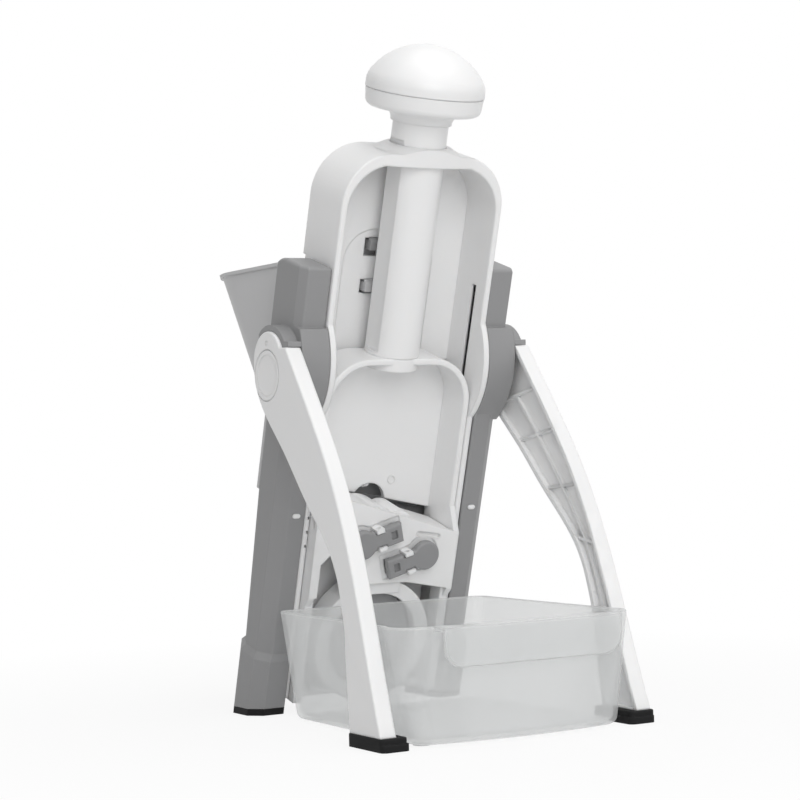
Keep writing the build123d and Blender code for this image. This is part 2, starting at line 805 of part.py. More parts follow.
def make_block_sides():
    """Side walls that step out to the block's back face, then the strips down to the foot."""
    side = outline((frame_rim_y, block_flare_high), (block_rear_y, block_flare_low),
                   (block_rear_y, block_low_right), (strip_rear_y, block_low_right - strip_width),
                   (strip_rear_y, carriage_foot), (strip_rear_y + strip_depth, carriage_foot),
                   (strip_rear_y + strip_depth, block_low_right), (block_depth, block_low_right + strip_width),
                   (plate_front_y, block_flare_low), (plate_front_y, block_flare_high))
    wall = across(side, carriage_half_width - carriage_wall, carriage_half_width)
    strip = block((carriage_half_width - strip_width, carriage_half_width),
                  (strip_rear_y, strip_rear_y + strip_depth), (carriage_foot, block_low_right))
    right = wall + strip
    return right + mirrored(right)


def make_block_panel():
    """Back panel of the block, slanted along its top to follow the deck."""
    half = carriage_half_width
    left_edge = -half + strip_width + opening_left_width
    face = outline((-half, deck_line(-half, deck_height)), (half, deck_line(half, deck_height)),
                   (half, block_low_right), (block_low_x, block_low_middle), (left_edge, block_low_middle),
                   (left_edge, block_low_left - opening_left_slope),
                   (left_edge - opening_left_slope, block_low_left),
                   (-half + strip_width + opening_left_slope, block_low_left),
                   (-half + strip_width, block_low_left - opening_left_slope),
                   (-half + strip_width, block_low_right), (-half, block_low_right))
    return through(face, block_rear_y, block_rear_y + block_panel)


def make_ring_frame():
    """Ring around the dial, its bearing web and the bar across the foot."""
    ring = rod_y(ring_radius, ring_rear_y, web_rear_y, 0, ring_height)
    ring -= rod_y(ring_radius - ring_band, ring_rear_y - overrun, web_rear_y, 0, ring_height)
    web = rod_y(ring_radius, web_rear_y, web_rear_y + web_thickness, 0, ring_height)
    reach = carriage_half_width - strip_width / 2
    top_bar = block((-reach, reach), (web_rear_y - web_thickness, web_rear_y),
                    (carriage_foot, carriage_foot + foot_bar))
    neck = block((-ring_neck_half_width, ring_neck_half_width), (block_rear_y + block_panel, web_rear_y),
                 (ring_height + ring_radius - ring_band, block_low_middle + block_panel))
    return ring + web + top_bar + neck


def make_fins():
    """Fins that ride in the slits, each with a lug that its spring pulls on."""
    half = fin_thickness / 2
    fin = block((carriage_half_width, frame_half_width + fin_reach), (slit_y - half, slit_y + half),
                (fin_low, fin_low + fin_height))
    lug = block((carriage_half_width, frame_half_width + lug_reach), (slit_y - half, slit_y + half),
                (fin_low, fin_low + lug_height))
    right = fin + lug
    return right + mirrored(right)


def cut_carriage_details(body):
    """Dial bearing, groove, gate mark, screw holes, rocker recesses, ears and comb slots."""
    body -= rod_y(dial_shaft_radius + pin_clearance, web_rear_y - overrun / 2, web_rear_y + overrun / 2,
                  0, ring_height)
    groove = Pos(groove_x, groove_z) * SlotOverall(groove_length, groove_height, rotation=deck_slope / 2)
    body -= through(groove, block_rear_y - overrun, block_rear_y + groove_depth)
    gate = rod_y(gate_radius, plate_rear_y - gate_height, plate_rear_y, gate_x, gate_z)
    gate -= rod_y(gate_radius - gate_height, plate_rear_y - overrun, plate_rear_y, gate_x, gate_z)
    body += gate
    for share in blade_screw_shares:
        x = share * blade_half_length
        z = plate_line(x, plate_edge) + blade_width / 2
        body -= rod_y(screw_radius + screw_clearance, plate_rear_y + blade_thickness - screw_clearance,
                      plate_front_y + overrun, x, z)
    for name in ("left", "right"):
        place = rocker_place(name)
        body -= place * through(rocker_plan(rocker_recess_margin), -rocker_lift, rocker_recess_depth)
        body += place * make_ears()
        body -= place * comb_slot()
    return body


def rocker_place(name):
    """Frame of a rocker: x along it towards the paddle, y away from the block's face into it."""
    if name == "right":
        return Pos(rocker_right_x, block_rear_y, rocker_right_z) * Rot(0, -rocker_tilt, 0)
    return Pos(rocker_left_x, block_rear_y, rocker_left_z) * Rot(0, 180 - rocker_tilt, 0)


def rocker_axis_y():
    return -rocker_lift - rocker_thickness / 2


def make_ears():
    """Two ears beside a rocker that hold its trunnions."""
    high = rocker_half_width - ear_bite + ear_thickness + seat_gap
    low = rocker_half_width - ear_bite + seat_gap
    top_y = -rocker_lift - rocker_thickness - ear_tip
    ear = block((-ear_length / 2, ear_length / 2), (top_y, block_panel / 2), (low, high))
    ear -= rod_z(trunnion_radius + pin_clearance, low - overrun, high + overrun, 0, rocker_axis_y())
    return ear + mirror(ear, about=Plane.XY)


def comb_slot():
    half = comb_thickness / 2 + comb_slot_margin
    wide = rocker_half_width - ear_bite + seat_gap
    return block((-comb_x - half, -comb_x + half), (-block_panel / 2, block_panel + block_panel / 2), (-wide, wide))


def rocker_plan(grow):
    """Outline of a rocker from its square end to its round paddle, grown by grow."""
    length = rocker_arm + rocker_paddle_x + grow
    bar = Pos(rocker_paddle_x - length / 2, 0) * Rectangle(length, 2 * (rocker_half_width + grow))
    return bar + Pos(rocker_paddle_x, 0) * Circle(rocker_paddle_radius + grow)


def make_rocker():
    """See-saw lever: square end with a window, round paddle at the other end."""
    plan = rocker_plan(0)
    for side in (-1, 1):
        bite = rocker_half_width - ear_bite / 2
        plan -= Pos(0, side * bite) * Rectangle(ear_length + 2 * slide_gap, ear_bite)
        shift = side * (rocker_half_width + rocker_paddle_radius) / 2
        plan -= Pos(0, shift) * Rectangle(ear_length + 2 * slide_gap, rocker_paddle_radius - rocker_half_width)
    top_y = -rocker_lift - rocker_thickness
    lever = through(plan, top_y, -rocker_lift)
    lever = fillet(lever.faces().sort_by(Axis.Y)[0].edges(), rocker_round)
    window = block((-rocker_window_x - rocker_window_length / 2, -rocker_window_x + rocker_window_length / 2),
                   (top_y - overrun, -rocker_lift - rocker_thickness / 2),
                   (-rocker_window_height / 2, rocker_window_height / 2))
    lever -= window
    reach = rocker_half_width - ear_bite + trunnion_length
    lever += rod_z(trunnion_radius, -reach, reach, 0, rocker_axis_y())
    return lever


def make_comb():
    """Steel comb under a rocker's square end, with its teeth towards the runway."""
    wide = rocker_half_width - ear_bite - slide_gap
    comb = block((-comb_x - comb_thickness / 2, -comb_x + comb_thickness / 2), (-rocker_lift, comb_reach),
                 (-wide, wide))
    pitch = 2 * wide / comb_teeth
    for index in range(comb_teeth - 1):
        middle = -wide + (index + 1) * pitch
        gap = pitch * comb_tooth_share / 2
        comb -= block((-comb_x - overrun, -comb_x + overrun),
                      (block_panel + comb_slot_margin, comb_reach + overrun), (middle - gap, middle + gap))
    return comb


def make_blade():
    """Flat steel strip on the front of the plate, ground along its lower edge."""
    turn = Pos(0, 0, plate_edge) * Rot(0, -plate_slope, 0)
    half = blade_half_length
    strip = block((-half, half), (plate_front_y, plate_front_y + blade_thickness),
                  (-blade_overhang, blade_width - blade_overhang))
    edge = outline((plate_front_y, -blade_overhang), (plate_front_y + blade_thickness, -blade_overhang),
                   (plate_front_y, blade_bevel - blade_overhang))
    strip -= across(edge, -half - overrun, half + overrun)
    blade = turn * strip
    notch_z = plate_line(plate_notch_x, plate_edge) - plate_notch_drop
    relief = rod_y(plate_notch_radius, plate_front_y - overrun, plate_front_y + overrun, plate_notch_x, notch_z)
    relief &= turn * block((-half, half), (plate_front_y - overrun, plate_front_y + overrun), (0, blade_width))
    blade -= relief
    for share in blade_screw_shares:
        x = share * blade_half_length
        z = plate_line(x, plate_edge) + blade_width / 2
        blade -= rod_y(screw_radius + screw_clearance, plate_front_y - overrun, plate_front_y + overrun, x, z)
    return blade


def make_blade_screws():
    screws = Part()
    for share in blade_screw_shares:
        x = share * blade_half_length
        z = plate_line(x, plate_edge) + blade_width / 2
        screws += screw(plate_front_y + blade_thickness, x, z, plate_thickness, -1)
    return screws


def make_runway():
    """Slanted deck with two humps, a wall down its front and the tongue that the dial pushes."""
    half = runway_half_width
    deck = deck_height - seat_gap
    under = deck - deck_thickness
    face = outline((half, deck_line(half, under)), (half, deck_line(half, deck)), (-half, deck_line(-half, deck)),
                   (-half, deck_line(-half, under)))
    for middle, rise in ((hump_x, hump_height), (hump_x - hump_pitch, hump_small_height)):
        low = middle - hump_width / 2
        high = middle + hump_width / 2
        bow = ThreePointArc((high, deck_line(high, deck)), (middle, deck_line(middle, deck + rise)),
                            (low, deck_line(low, deck)))
        face += make_face([bow, Line(bow @ 1, bow @ 0)])
    deck_rear = block_rear_y + block_panel + seat_gap
    body = through(face, deck_rear, tongue_rear_y + runway_wall)
    wall = outline((-half, deck_line(-half, deck)), (half, deck_line(half, deck)), (half, runway_low),
                   (-half, runway_low))
    body += through(wall, tongue_rear_y, tongue_rear_y + runway_wall)
    body += block((-tongue_half_width, tongue_half_width), (tongue_rear_y, tongue_rear_y + runway_wall),
                  (tongue_low, runway_low))
    body -= rod_y(dial_shaft_radius + slide_gap, 0, front_y, 0, ring_height)
    return body


def make_dial():
    """Disc seen in the ring, with the shaft and cam that push the runway's tongue."""
    disc = rod_y(ring_radius - ring_band - dial_gap, dial_rear_y, dial_rear_y + dial_thickness, 0, ring_height)
    disc = fillet(disc.edges().sort_by(Axis.Y)[0], dial_thickness / 4)
    shaft = rod_y(dial_shaft_radius, dial_rear_y, dial_knob_y, 0, ring_height)
    cam_rear = web_rear_y + web_thickness + seat_gap
    cam = rod_y(dial_cam_radius, cam_rear, tongue_rear_y - seat_gap, 0, ring_height)
    return disc + shaft + cam


def make_dial_knob():
    """Fluted grip on the front end of the dial's shaft."""
    knob = rod_y(dial_knob_radius, dial_knob_y, dial_knob_y + dial_knob_depth, 0, ring_height)
    knob = fillet(knob.edges().sort_by(Axis.Y)[-1], dial_flute_radius)
    for index in range(dial_flutes):
        turn = 2 * math.pi * index / dial_flutes
        knob -= rod_y(dial_flute_radius, dial_knob_y - overrun, dial_knob_y + overrun,
                      dial_knob_radius * math.cos(turn), ring_height + dial_knob_radius * math.sin(turn))
    return knob - rod_y(screw_radius + screw_clearance, 0, front_y + overrun, 0, ring_height)


def make_dial_screw():
    return screw(dial_knob_y + dial_knob_depth, 0, ring_height, dial_knob_depth, -1)


def make_spring():
    """Right-hand return spring as the sleeve that its coils fill, between lug and anchor pin."""
    low = fin_low + lug_height + seat_gap
    high = anchor_height - anchor_radius - seat_gap
    return rod_z(spring_radius, low, high, spring_x, slit_y) - rod_z(spring_bore, low, high, spring_x, slit_y)


def make_anchor():
    return rod_y(anchor_radius, shoulder_rear_y + post_wall / 2 + screw_clearance, front_y, spring_x, anchor_height)


def leg_point(share):
    return (share[0] * leg_reach, -share[1] * (pivot_level_z - boot_height))


def leg_front_edge():
    points = [(leg_end_radius, 0)] + [leg_point(share) for share in leg_front_shares]
    return Spline(*points, tangents=((0, -1), (-leg_foot_slant_share, -1)))


def leg_rear_edge():
    points = [(-leg_top_shelf, leg_top_rise)] + [leg_point(share) for share in leg_rear_shares]
    return Spline(*points)


def leg_face():
    """Side view of the leg with its pivot at the origin, y towards the front."""
    front = leg_front_edge()
    rear = leg_rear_edge()
    shelf_y = -math.sqrt(leg_end_radius ** 2 - leg_top_rise ** 2)
    end = ThreePointArc((leg_end_radius, 0), (0, leg_end_radius), (shelf_y, leg_top_rise))
    shelf = Line((shelf_y, leg_top_rise), (-leg_top_shelf, leg_top_rise))
    side = make_face([front, Line(front @ 1, rear @ 1), rear, shelf, end])
    return fillet(side.vertices().sort_by(Axis.Y)[-2:], leg_corner_round)


def leg_inner_points(edge, way, first_share, last_share):
    """Points along an edge of the leg, set in by the rim's width."""
    points = []
    for index in range(leg_pocket_points):
        share = first_share + (last_share - first_share) * index / (leg_pocket_points - 1)
        place = edge @ share
        along = edge % share
        points.append((place.X + way * along.Y * leg_rim, place.Y - way * along.X * leg_rim))
    return points


def leg_pocket_face():
    """Inside of the leg's rim."""
    inner_radius = leg_end_radius - leg_rim
    shelf_z = leg_top_rise - leg_rim
    shelf_y = -math.sqrt(inner_radius ** 2 - shelf_z ** 2)
    front_points = leg_inner_points(leg_front_edge(), 1, 0, leg_pocket_end_share)
    rear_points = leg_inner_points(leg_rear_edge(), -1, leg_pocket_start_share, leg_pocket_end_share)
    front = Spline(*front_points, tangents=((0, -1), (-leg_foot_slant_share, -1)))
    rear = Spline(*rear_points)
    end = ThreePointArc((inner_radius, 0), (0, inner_radius), (shelf_y, shelf_z))
    return make_face([front, Line(front @ 1, rear @ 1), rear, Line(rear @ 0, (shelf_y, shelf_z)), end])


def make_leg():
    """Right-hand leg arm: an outer skin with a rim around it and ribs inside. Level frame."""
    face = leg_face()
    arm = across(face, 0, leg_thickness)
    arm = fillet(arm.faces().sort_by(Axis.X)[-1].edges(), leg_edge_round)
    pocket = across(leg_pocket_face(), -overrun, leg_thickness - leg_skin)
    ribs = Part()
    front = leg_front_edge()
    rear = leg_rear_edge()
    middle = []
    for share in leg_rib_shares:
        start = front @ share
        end = rear @ share
        middle.append(start + (end - start) * leg_mid_share)
        ribs += leg_rib_between(start, end)
    for start, end in zip(middle, middle[1:]):
        ribs += leg_rib_between(start, end)
    ribs += rod_x(pin_radius + pin_clearance + leg_hub_wall, 0, leg_thickness - leg_skin, 0, 0)
    arm = arm - pocket + (ribs & pocket)
    arm = Rot(0, -splay_angle, 0) * arm
    cap_face_x = leg_thickness - cap_thickness
    arm -= Rot(0, -splay_angle, 0) * rod_x(cap_radius + cap_gap, cap_face_x, leg_thickness + overrun,
                                           0, -cap_drop)
    arm -= Rot(0, -splay_angle, 0) * rod_x(dimple_radius, leg_thickness - dimple_depth, leg_thickness + overrun,
                                           0, dimple_rise)
    arm -= rod_x(pin_radius + pin_clearance, -overrun, overrun, 0, 0)
    arm = Pos(leg_inner, pivot_level_y, pivot_level_z) * arm
    return arm - level_floor(boot_height)


def leg_rib_between(start, end):
    """Straight rib in the leg's pocket from start to end, a little lower than the rim."""
    along = end - start
    angle = math.degrees(math.atan2(along.Y, along.X))
    bar = Pos((start.X + end.X) / 2, (start.Y + end.Y) / 2) * Rot(0, 0, angle) * Rectangle(along.length, leg_rib)
    return across(bar, leg_rib_drop, leg_thickness - leg_skin)


def make_leg_cap():
    """Round cap that snaps over the right-hand pivot, with a shallow dish. Level frame."""
    cap_face_x = leg_thickness - cap_thickness
    cap = rod_x(cap_radius, cap_face_x, leg_thickness, 0, -cap_drop)
    cap -= rod_x(cap_radius - cap_rim, leg_thickness - cap_dish, leg_thickness + overrun, 0, -cap_drop)
    return Pos(leg_inner, pivot_level_y, pivot_level_z) * Rot(0, -splay_angle, 0) * cap


def make_leg_pin():
    start = post_half_width - pin_seat
    end = leg_inner + leg_thickness - cap_thickness - leg_gap
    return rod_x(pin_radius, start, end, pivot_level_y, pivot_level_z)


def make_boot():
    """Right-hand rubber boot: a stepped pad under the leg's foot. Level frame."""
    inner_x = leg_inner + leg_foot_shift - boot_inner_margin
    outer_x = leg_inner + leg_foot_shift + leg_thickness + boot_outer_margin
    foot_rear = pivot_level_y + leg_rear_shares[-1][0] * leg_reach
    foot_front = pivot_level_y + leg_front_shares[-1][0] * leg_reach
    low = block((inner_x, outer_x), (foot_rear - boot_rear_margin, foot_front + boot_front_margin), (0, boot_step))
    high = block((inner_x + boot_inset, outer_x),
                 (foot_rear - boot_rear_margin + boot_inset, foot_front + boot_front_margin), (0, boot_height))
    low = fillet(low.edges().filter_by(Axis.Z), boot_round)
    high = fillet(high.edges().filter_by(Axis.Z), boot_round - boot_inset / 2)
    boot = low + high
    return fillet(boot.faces().sort_by(Axis.Z)[-1].edges(), boot_edge_round)


def tray_plan(far_y, near_y, far_half, leg_half, near_half, near_corner, inset):
    """Plan of the tray: narrow at the far end, past the legs wider, with a bowed near wall."""
    far = far_y - inset
    near = near_y + inset
    sides = [(far_half - inset, far), (leg_half - inset, tray_leg_y), (near_half - inset, near)]
    left = [(-x, y) for x, y in reversed(sides)]
    bow = ThreePointArc(sides[-1], (0, near - tray_bow), left[0])
    plan = make_face([Polyline(*sides), bow, Polyline(*left, sides[0])])
    ends = plan.vertices().sort_by(Axis.Y)
    plan = fillet(ends[:2], near_corner - inset)
    ends = plan.vertices().group_by(Axis.Y)[-1]
    return fillet(ends, tray_far_corner - inset)


def tray_form(inset, low_z, high_z):
    """Tapered solid between the tray's lower and upper plans."""
    low = tray_plan(tray_far_low_y, tray_low_near_y, tray_low_far_half_width, tray_low_leg_half_width,
                    tray_low_near_half_width, tray_low_near_corner, inset)
    high = tray_plan(tray_far_y, tray_near_y, tray_far_half_width, tray_leg_half_width,
                     tray_near_half_width, tray_near_corner, inset)
    return loft([Pos(0, 0, low_z) * low, Pos(0, 0, high_z) * high], ruled=True)


def make_tray():
    shell = tray_form(0, tray_foot, tray_height)
    shell = fillet(shell.faces().sort_by(Axis.Z)[0].edges(), tray_floor_round)
    shell = fillet(shell.faces().sort_by(Axis.Z)[-1].edges(), tray_rim_round)
    inside = tray_form(tray_wall, tray_foot + tray_floor, tray_height + tray_foot)
    inside = fillet(inside.faces().sort_by(Axis.Z)[0].edges(), tray_floor_round - tray_wall)
    shell -= inside
    near = tray_near_y - tray_bow
    skirt_plan = Pos(0, tray_height - flap_drop / 2) * Rectangle(2 * flap_half_width, flap_drop)
    skirt_plan = fillet(skirt_plan.vertices().group_by(Axis.Y)[0], flap_corner)
    skirt = through(skirt_plan, near - flap_reach, near - flap_reach + flap_thickness)
    ledge = block((-flap_half_width, flap_half_width), (near - flap_reach, near + tray_bow),
                  (tray_height - flap_thickness, tray_height))
    shell += skirt + (ledge - inside)
    for x, y in tray_foot_places():
        shell += rod_z(tray_foot_radius, 0, tray_foot + tray_floor / 2, x, y)
    return shell


def tray_foot_places():
    """Small round feet near the corners of the tray's floor."""
    inset = 2 * tray_foot_radius + tray_wall
    far = tray_far_low_y - inset
    near = tray_near_y + inset
    return [(side * (half - inset), y) for side in (-1, 1)
            for half, y in ((tray_low_far_half_width, far), (tray_low_near_half_width, near))]


housing = lean * make_housing()
shroud = make_shroud()
housing += shroud + mirrored(shroud)
housing -= level_floor(pad_height)
frame_screws = Part()
for place_x, place_z in frame_screw_places():
    for hand in (-1, 1):
        frame_screws += screw(frame_screw_y, hand * place_x, place_z, frame_screw_length, -1)
base_pad = make_base_pad()
stud = make_stud()
spring = make_spring()
anchor = make_anchor()
leg = make_leg()
leg_cap = make_leg_cap()
leg_pin = make_leg_pin()
boot = make_boot()

pieces = {
    "main_housing": housing,
    "guide_frame": lean * make_guide_frame(),
    "feed_chute": lean * make_chute(),
    "base_pad_right": base_pad,
    "base_pad_left": mirrored(base_pad),
    "frame_screws": lean * frame_screws,
    "post_studs": lean * (stud + mirrored(stud)),
    "spring_anchors": lean * (anchor + mirrored(anchor)),
    "return_spring_right": lean * spring,
    "return_spring_left": lean * mirrored(spring),
    "leg_pin_right": leg_pin,
    "leg_pin_left": mirrored(leg_pin),
    "knob_cap": lean * make_knob_cap(),
    "knob_base": lean * make_knob_base(),
    "knob_screw": lean * make_knob_screw(),
    "stem_tube": lean * make_stem(),
    "carriage_frame": lean * make_carriage(),
    "slicing_blade": lean * make_blade(),
    "blade_screws": lean * make_blade_screws(),
    "runway": lean * make_runway(),
    "thickness_dial": lean * make_dial(),
    "dial_knob": lean * make_dial_knob(),
    "dial_screw": lean * make_dial_screw(),
    "rocker_left": lean * rocker_place("left") * make_rocker(),
    "rocker_right": lean * rocker_place("right") * make_rocker(),
    "comb_left": lean * rocker_place("left") * make_comb(),
    "comb_right": lean * rocker_place("right") * make_comb(),
    "leg_arm_right": leg,
    "leg_arm_left": mirrored(leg),
    "leg_cap_right": leg_cap,
    "leg_cap_left": mirrored(leg_cap),
    "leg_boot_right": boot,
    "leg_boot_left": mirrored(boot),
    "collection_tray": make_tray(),
}

# The origin is on the floor under the middle of the whole object
boxes = [piece.bounding_box() for piece in pieces.values()]
middle_y = (min(box.min.Y for box in boxes) + max(box.max.Y for box in boxes)) / 2
pieces = {name: Pos(0, -middle_y, 0) * piece for name, piece in pieces.items()}

os.makedirs("parts", exist_ok=True)
for name, piece in pieces.items():
    export_step(piece, "parts/" + name + ".step")
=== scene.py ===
from math import cos, radians, sin, tau

import bmesh
import bpy
from mathutils import Matrix, Vector


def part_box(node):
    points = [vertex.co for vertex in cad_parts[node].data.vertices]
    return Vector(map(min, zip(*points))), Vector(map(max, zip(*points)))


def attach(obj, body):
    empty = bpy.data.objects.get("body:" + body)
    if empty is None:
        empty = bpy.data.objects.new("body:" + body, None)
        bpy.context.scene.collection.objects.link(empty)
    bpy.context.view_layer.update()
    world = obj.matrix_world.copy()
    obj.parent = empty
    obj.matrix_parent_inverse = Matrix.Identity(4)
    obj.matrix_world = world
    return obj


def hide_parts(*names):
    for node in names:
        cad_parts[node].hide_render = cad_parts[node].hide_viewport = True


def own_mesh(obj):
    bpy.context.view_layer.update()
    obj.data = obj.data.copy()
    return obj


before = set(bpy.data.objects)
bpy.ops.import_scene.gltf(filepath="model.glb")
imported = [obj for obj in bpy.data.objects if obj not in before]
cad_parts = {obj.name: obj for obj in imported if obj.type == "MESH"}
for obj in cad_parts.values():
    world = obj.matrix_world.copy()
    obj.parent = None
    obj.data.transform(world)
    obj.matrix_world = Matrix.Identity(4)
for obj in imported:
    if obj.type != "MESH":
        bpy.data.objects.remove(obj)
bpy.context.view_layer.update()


# Main housing: the grey stand with its two hollow posts, shoulders and pivot bosses.
# It is one injection moulding in a fine matt grey, with a small round on every edge.
HOUSING_GREY = (0.290, 0.290, 0.294)
EDGE_ROUND = 0.00002
SHEEN_SPREAD = 0.05


def link_nodes(tree, *pairs):
    for output, target in pairs:
        tree.links.new(output, target)


def moulded_plastic(name, colour, roughness, grain, bloom, edge_highlight=0.35, depth=0.0):
    """Injection-moulded plastic: slow colour drift from the melt, spark-eroded grain, and a painted highlight
    that colours the rounded edges paler.
    """
    material = bpy.data.materials.new(name)
    material.use_nodes = True
    tree = material.node_tree
    shader = tree.nodes["Principled BSDF"]
    place = tree.nodes.new("ShaderNodeTexCoord")
    drift = tree.nodes.new("ShaderNodeTexNoise")
    drift.inputs["Scale"].default_value = 14.0
    drift.inputs["Detail"].default_value = 3.0
    tint = tree.nodes.new("ShaderNodeMix")
    tint.data_type = "RGBA"
    tint.inputs["A"].default_value = (*(c * (1 - bloom) for c in colour), 1)
    tint.inputs["B"].default_value = (*(min(1, c * (1 + bloom)) for c in colour), 1)
    link_nodes(tree, (place.outputs["Object"], drift.inputs["Vector"]),
               (drift.outputs["Fac"], tint.inputs["Factor"]))

    # Painted highlight: edges found by the bevel normal are coloured paler, in place of the light their rounds
    # catch.
    rounded = tree.nodes.new("ShaderNodeBevel")
    rounded.samples = 4
    rounded.inputs["Radius"].default_value = 0.0012
    facing = tree.nodes.new("ShaderNodeNewGeometry")
    turn = tree.nodes.new("ShaderNodeVectorMath")
    turn.operation = "DOT_PRODUCT"
    edge_highlight_mask = tree.nodes.new("ShaderNodeMapRange")
    edge_highlight_mask.inputs["From Min"].default_value = 1.0
    edge_highlight_mask.inputs["From Max"].default_value = 0.72
    edge_highlight_mask.inputs["To Max"].default_value = 0.35
    highlit_edges = tree.nodes.new("ShaderNodeMix")
    highlit_edges.data_type = "RGBA"
    highlit_edges.inputs["B"].default_value = (*(c + (1 - c) * edge_highlight for c in colour), 1)
    link_nodes(tree, (rounded.outputs["Normal"], turn.inputs[0]),
               (facing.outputs["Normal"], turn.inputs[1]),
               (turn.outputs["Value"], edge_highlight_mask.inputs["Value"]),
               (edge_highlight_mask.outputs["Result"], highlit_edges.inputs["Factor"]),
               (tint.outputs["Result"], highlit_edges.inputs["A"]),
               (highlit_edges.outputs["Result"], shader.inputs["Base Color"]))

    spark = tree.nodes.new("ShaderNodeTexNoise")
    spark.inputs["Scale"].default_value = 2200.0
    spark.inputs["Detail"].default_value = 2.0
    relief = tree.nodes.new("ShaderNodeBump")
    relief.inputs["Strength"].default_value = grain
    relief.inputs["Distance"].default_value = 0.0002
    gloss = tree.nodes.new("ShaderNodeMapRange")
    gloss.inputs["To Min"].default_value = roughness - SHEEN_SPREAD
    gloss.inputs["To Max"].default_value = roughness + SHEEN_SPREAD
    link_nodes(tree, (place.outputs["Object"], spark.inputs["Vector"]),
               (spark.outputs["Fac"], relief.inputs["Height"]),
               (rounded.outputs["Normal"], relief.inputs["Normal"]),
               (relief.outputs["Normal"], shader.inputs["Normal"]),
               (drift.outputs["Fac"], gloss.inputs["Value"]),
               (gloss.outputs["Result"], shader.inputs["Roughness"]))
    if depth:
        shader.inputs["Subsurface Weight"].default_value = depth
        shader.inputs["Subsurface Radius"].default_value = (0.0022, 0.0020, 0.0018)
    return material


def dress(node, material):
    """Gives a solid its material and evens the shading of its flat and round faces."""
    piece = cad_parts[node]
    for face in piece.data.polygons:
        face.use_smooth = True
    piece.material_slots[0].material = material
    join = piece.modifiers.new("joined", "WELD")
    join.merge_threshold = 0.000002
    panels = piece.modifiers.new("panels", "DECIMATE")
    panels.decimate_type = "DISSOLVE"
    panels.angle_limit = radians(0.2)
    rounding = piece.modifiers.new("rounding", "BEVEL")
    rounding.width = EDGE_ROUND
    rounding.segments = 2
    rounding.limit_method = "ANGLE"
    rounding.angle_limit = radians(28)
    rounding.harden_normals = True
    even = piece.modifiers.new("even faces", "WEIGHTED_NORMAL")
    even.mode = "FACE_AREA"
    even.weight = 50


housing_plastic = moulded_plastic("grey housing plastic", HOUSING_GREY, roughness=0.52, grain=0.10, bloom=0.03)
dress("main_housing", housing_plastic)


# Guide frame: the white upper shell with the collar and the two rails that the plunger runs between.
# It is moulded in glossy white and held to the housing by snap hooks and two screws.
SHELL_WHITE = (0.88, 0.88, 0.88)
white_plastic = moulded_plastic("white shell plastic", SHELL_WHITE, roughness=0.36, grain=0.05, bloom=0.012,
                                depth=0.12)
dress("guide_frame", white_plastic)


# Feed chute: a lighter grey hopper with a rolled lip, clipped to the front of the stand.
# Its walls are thinner than the housing's and let a little light through.
CHUTE_GREY = (0.56, 0.56, 0.565)
chute_plastic = moulded_plastic("light grey chute plastic", CHUTE_GREY, roughness=0.42, grain=0.06, bloom=0.02,
                                depth=0.08)
dress("feed_chute", chute_plastic)


# Base pads: two soft black rubber feet under the posts.
# They are moulded to the posts' own outline and pressed on, and their rubber is dull.
RUBBER_BLACK = (0.010, 0.010, 0.0105)
# The rubber's edges get only a faint painted highlight.
rubber = moulded_plastic("black foot rubber", RUBBER_BLACK, roughness=0.72, grain=0.22, bloom=0.12, edge_highlight=0.04)
rubber.node_tree.nodes["Principled BSDF"].inputs["Specular IOR Level"].default_value = 0.2
for hand in ("left", "right"):
    dress("base_pad_" + hand, rubber)


# Fastenings: screws, spring anchors and leg pins of bright drawn steel, mostly inside the posts.
# The two small studs on the posts are white plastic.
STEEL = (0.60, 0.60, 0.61)


def drawn_steel(name, colour, roughness, along):
    """Polished strip or wire with fine lines left by the rolls."""
    material = bpy.data.materials.new(name)
    material.use_nodes = True
    tree = material.node_tree
    shader = tree.nodes["Principled BSDF"]
    shader.inputs["Metallic"].default_value = 1.0
    place = tree.nodes.new("ShaderNodeTexCoord")
    stretch = tree.nodes.new("ShaderNodeMapping")
    stretch.inputs["Scale"].default_value = along
    lines = tree.nodes.new("ShaderNodeTexNoise")
    lines.inputs["Scale"].default_value = 1.0
    lines.inputs["Detail"].default_value = 4.0
    gloss = tree.nodes.new("ShaderNodeMapRange")
    gloss.inputs["To Min"].default_value = roughness * 0.7
    gloss.inputs["To Max"].default_value = roughness * 1.4
    tone = tree.nodes.new("ShaderNodeMix")
    tone.data_type = "RGBA"
    tone.inputs["A"].default_value = (*(c * 0.9 for c in colour), 1)
    tone.inputs["B"].default_value = (*(c * 1.1 for c in colour), 1)
    relief = tree.nodes.new("ShaderNodeBump")
    relief.inputs["Strength"].default_value = 0.05
    relief.inputs["Distance"].default_value = 0.00005
    link_nodes(tree, (place.outputs["Object"], stretch.inputs["Vector"]),
               (stretch.outputs["Vector"], lines.inputs["Vector"]),
               (lines.outputs["Fac"], gloss.inputs["Value"]),
               (gloss.outputs["Result"], shader.inputs["Roughness"]),
               (lines.outputs["Fac"], tone.inputs["Factor"]),
               (tone.outputs["Result"], shader.inputs["Base Color"]),
               (lines.outputs["Fac"], relief.inputs["Height"]),
               (relief.outputs["Normal"], shader.inputs["Normal"]))
    return material


steel = drawn_steel("drawn steel", STEEL, roughness=0.28, along=(2500, 250, 250))
for node in ("frame_screws", "spring_anchors", "leg_pin_left", "leg_pin_right"):
    dress(node, steel)
dress("post_studs", white_plastic)


# Return springs: one coil of steel wire in each post, from the anchor pin down to the carriage's lug.
# A coil is stretched while the plunger is down, and its turns close up as the plunger rises.
LEAN = radians(17)
WIRE_RADIUS = 0.0005
WIRE_SIDES = 8
COIL_TURNS = 44
STEPS_PER_TURN = 14


